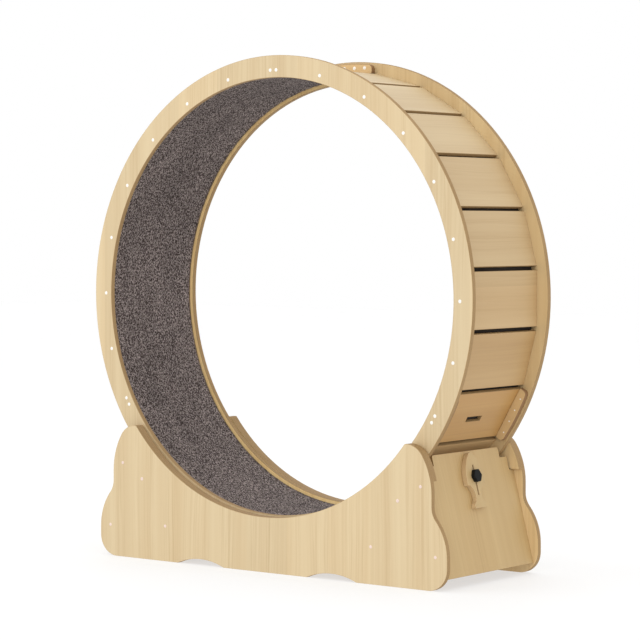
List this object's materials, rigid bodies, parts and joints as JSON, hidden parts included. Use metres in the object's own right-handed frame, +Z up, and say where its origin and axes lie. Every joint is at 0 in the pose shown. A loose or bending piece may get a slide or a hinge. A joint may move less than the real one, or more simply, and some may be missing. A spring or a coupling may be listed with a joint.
{
  "type": "cat exercise wheel",
  "caption": "Free-standing plywood running wheel for a cat: slatted carpeted drum on grooved rollers in a low base with curved side plates and a sliding lock latch.",
  "frame": {"origin": "on the floor under the middle of the wheel", "axes": "+Z up, +Y along the wheel's axle line from the front side plate to the rear one, +X along the base towards the end that carries the latch"},
  "size_m": [1.1, 0.376, 1.1783],
  "materials": {
    "birch_plywood": "satin",
    "carpet_pile": "matte",
    "cap_white": "gloss",
    "knob_black": "satin",
    "roller_nylon": "satin",
    "zinc_steel": "satin"
  },
  "bodies": {
    "base": {"side_plate_front": "birch_plywood", "side_plate_rear": "birch_plywood", "cradle_board_front": "birch_plywood", "cradle_board_rear": "birch_plywood", "end_panel_latch": "birch_plywood", "end_panel_plain": "birch_plywood", "cross_rail_right": "birch_plywood", "cross_rail_left": "birch_plywood", "roller_axles": "zinc_steel", "roller_nuts": "zinc_steel", "base_screw_caps": "cap_white", "latch_bolt": "zinc_steel"},
    "wheel": {"front_ring_right": "birch_plywood", "front_ring_left": "birch_plywood", "front_ring_bottom": "birch_plywood", "rear_ring_right": "birch_plywood", "rear_ring_left": "birch_plywood", "rear_ring_bottom": "birch_plywood", "tread_01": "birch_plywood", "tread_02": "birch_plywood", "tread_03": "birch_plywood", "tread_04": "birch_plywood", "tread_05": "birch_plywood", "tread_06": "birch_plywood", "tread_07": "birch_plywood", "tread_08": "birch_plywood", "tread_09": "birch_plywood", "tread_10": "birch_plywood", "tread_11": "birch_plywood", "tread_12": "birch_plywood", "tread_13": "birch_plywood", "tread_14": "birch_plywood", "tread_15": "birch_plywood", "tread_16": "birch_plywood", "tread_17": "birch_plywood", "tread_18": "birch_plywood", "tread_19": "birch_plywood", "tread_20": "birch_plywood", "tread_21": "birch_plywood", "tread_22": "birch_plywood", "tread_23": "birch_plywood", "tread_24": "birch_plywood", "carpet": "carpet_pile", "front_splice_top": "birch_plywood", "front_splice_right": "birch_plywood", "front_splice_left": "birch_plywood", "rear_splice_top": "birch_plywood", "rear_splice_right": "birch_plywood", "rear_splice_left": "birch_plywood", "ring_screw_caps": "cap_white", "splice_screw_caps": "cap_white"},
    "front_right_roller": {"roller_front_right": "roller_nylon"},
    "front_left_roller": {"roller_front_left": "roller_nylon"},
    "rear_right_roller": {"roller_rear_right": "roller_nylon"},
    "rear_left_roller": {"roller_rear_left": "roller_nylon"},
    "latch": {"latch_board": "birch_plywood"},
    "knob": {"latch_knob": "knob_black"}
  },
  "joints": [
    {"name": "wheel_spin", "type": "hinge", "parent": "base", "child": "wheel", "pos_m": [0, 0, 0.6283], "axis": [0, 1, 0], "continuous": true},
    {"name": "front_right_roller_spin", "type": "hinge", "parent": "base", "child": "front_right_roller", "pos_m": [0.37428, -0.15, 0.19008], "axis": [0, 1, 0], "continuous": true},
    {"name": "front_left_roller_spin", "type": "hinge", "parent": "base", "child": "front_left_roller", "pos_m": [-0.37428, -0.15, 0.19008], "axis": [0, 1, 0], "continuous": true},
    {"name": "rear_right_roller_spin", "type": "hinge", "parent": "base", "child": "rear_right_roller", "pos_m": [0.37428, 0.15, 0.19008], "axis": [0, 1, 0], "continuous": true},
    {"name": "rear_left_roller_spin", "type": "hinge", "parent": "base", "child": "rear_left_roller", "pos_m": [-0.37428, 0.15, 0.19008], "axis": [0, 1, 0], "continuous": true},
    {"name": "latch_slide", "type": "slide", "parent": "base", "child": "latch", "axis": [-0.2554, 0, 0.9668], "range_m": [-0.023, 0.028]},
    {"name": "knob_turn", "type": "hinge", "parent": "base", "child": "knob", "pos_m": [0.43996, 0, 0.23147], "axis": [0.9668, 0, 0.2554], "range_deg": [0, 360]}
  ],
  "couplings": [
    {"joint": "front_right_roller_spin", "follows": "wheel_spin", "ratio": -21.154},
    {"joint": "front_left_roller_spin", "follows": "wheel_spin", "ratio": -21.154},
    {"joint": "rear_right_roller_spin", "follows": "wheel_spin", "ratio": -21.154},
    {"joint": "rear_left_roller_spin", "follows": "wheel_spin", "ratio": -21.154}
  ]
}
